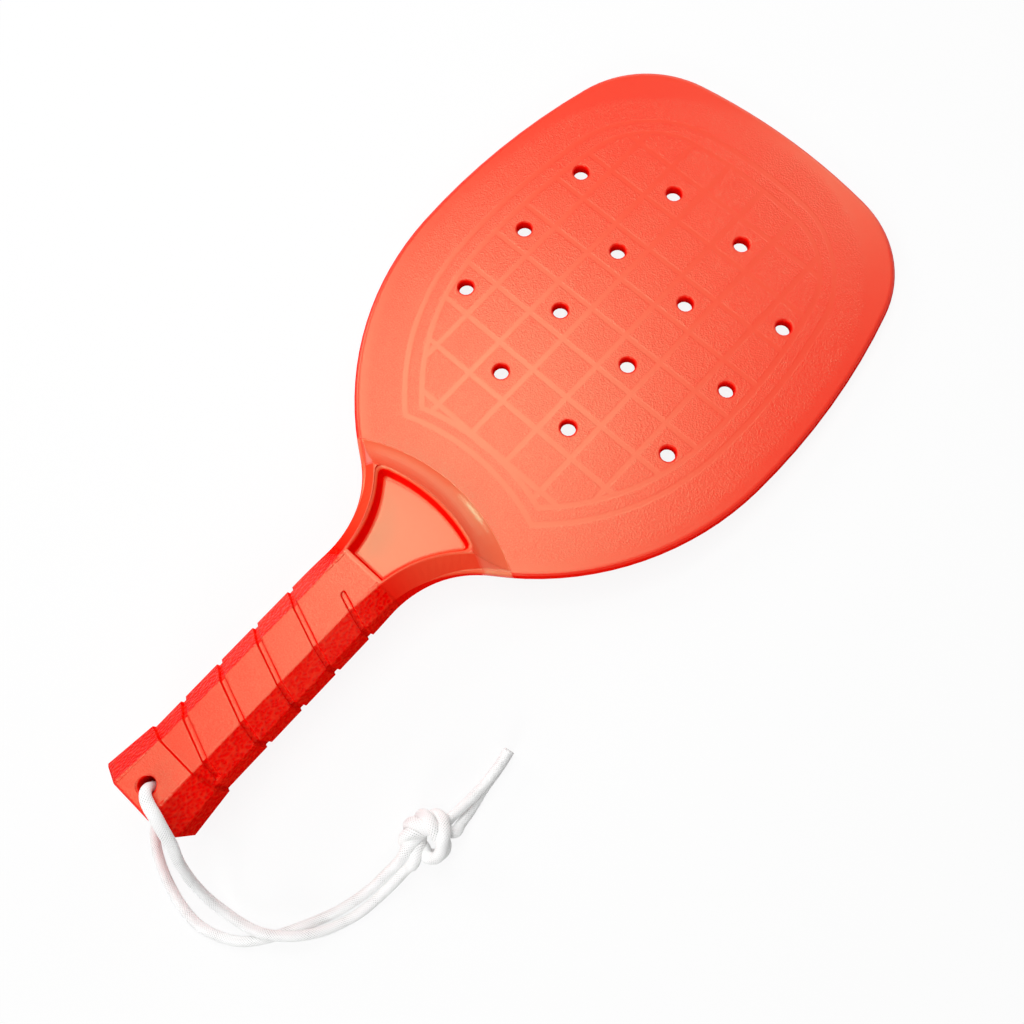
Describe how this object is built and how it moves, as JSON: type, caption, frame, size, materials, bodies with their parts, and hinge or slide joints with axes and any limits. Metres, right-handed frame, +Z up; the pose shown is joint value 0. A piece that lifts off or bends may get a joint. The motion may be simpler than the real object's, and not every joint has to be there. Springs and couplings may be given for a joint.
{
  "type": "paddleball paddle",
  "caption": "Orange-red moulded plastic paddleball paddle with air holes, an octagonal grip with a spiral groove, and a white braided wrist cord knotted through the butt",
  "frame": {"origin": "on the table under the middle of the plastic moulding's bounding box", "axes": "+Y runs from the butt to the blade's tip, +X across the blade to the side where the cord lies, +Z up from the table towards the front of the blade"},
  "size_m": [0.2013, 0.4379, 0.0515],
  "materials": {
    "orange_red_plastic": "satin, finely textured on the blade and grip, glossier in the neck recess",
    "white_braided_cord": "braided, matt"
  },
  "bodies": {
    "root": {"paddle_moulding": "orange_red_plastic", "cord_in_lanyard_hole": "white_braided_cord", "cord_front_strand": "white_braided_cord", "cord_back_strand": "white_braided_cord", "cord_knot_front_strand": "white_braided_cord", "cord_knot_back_strand": "white_braided_cord", "cord_lower_tail": "white_braided_cord", "cord_upper_tail": "white_braided_cord"}
  },
  "joints": []
}
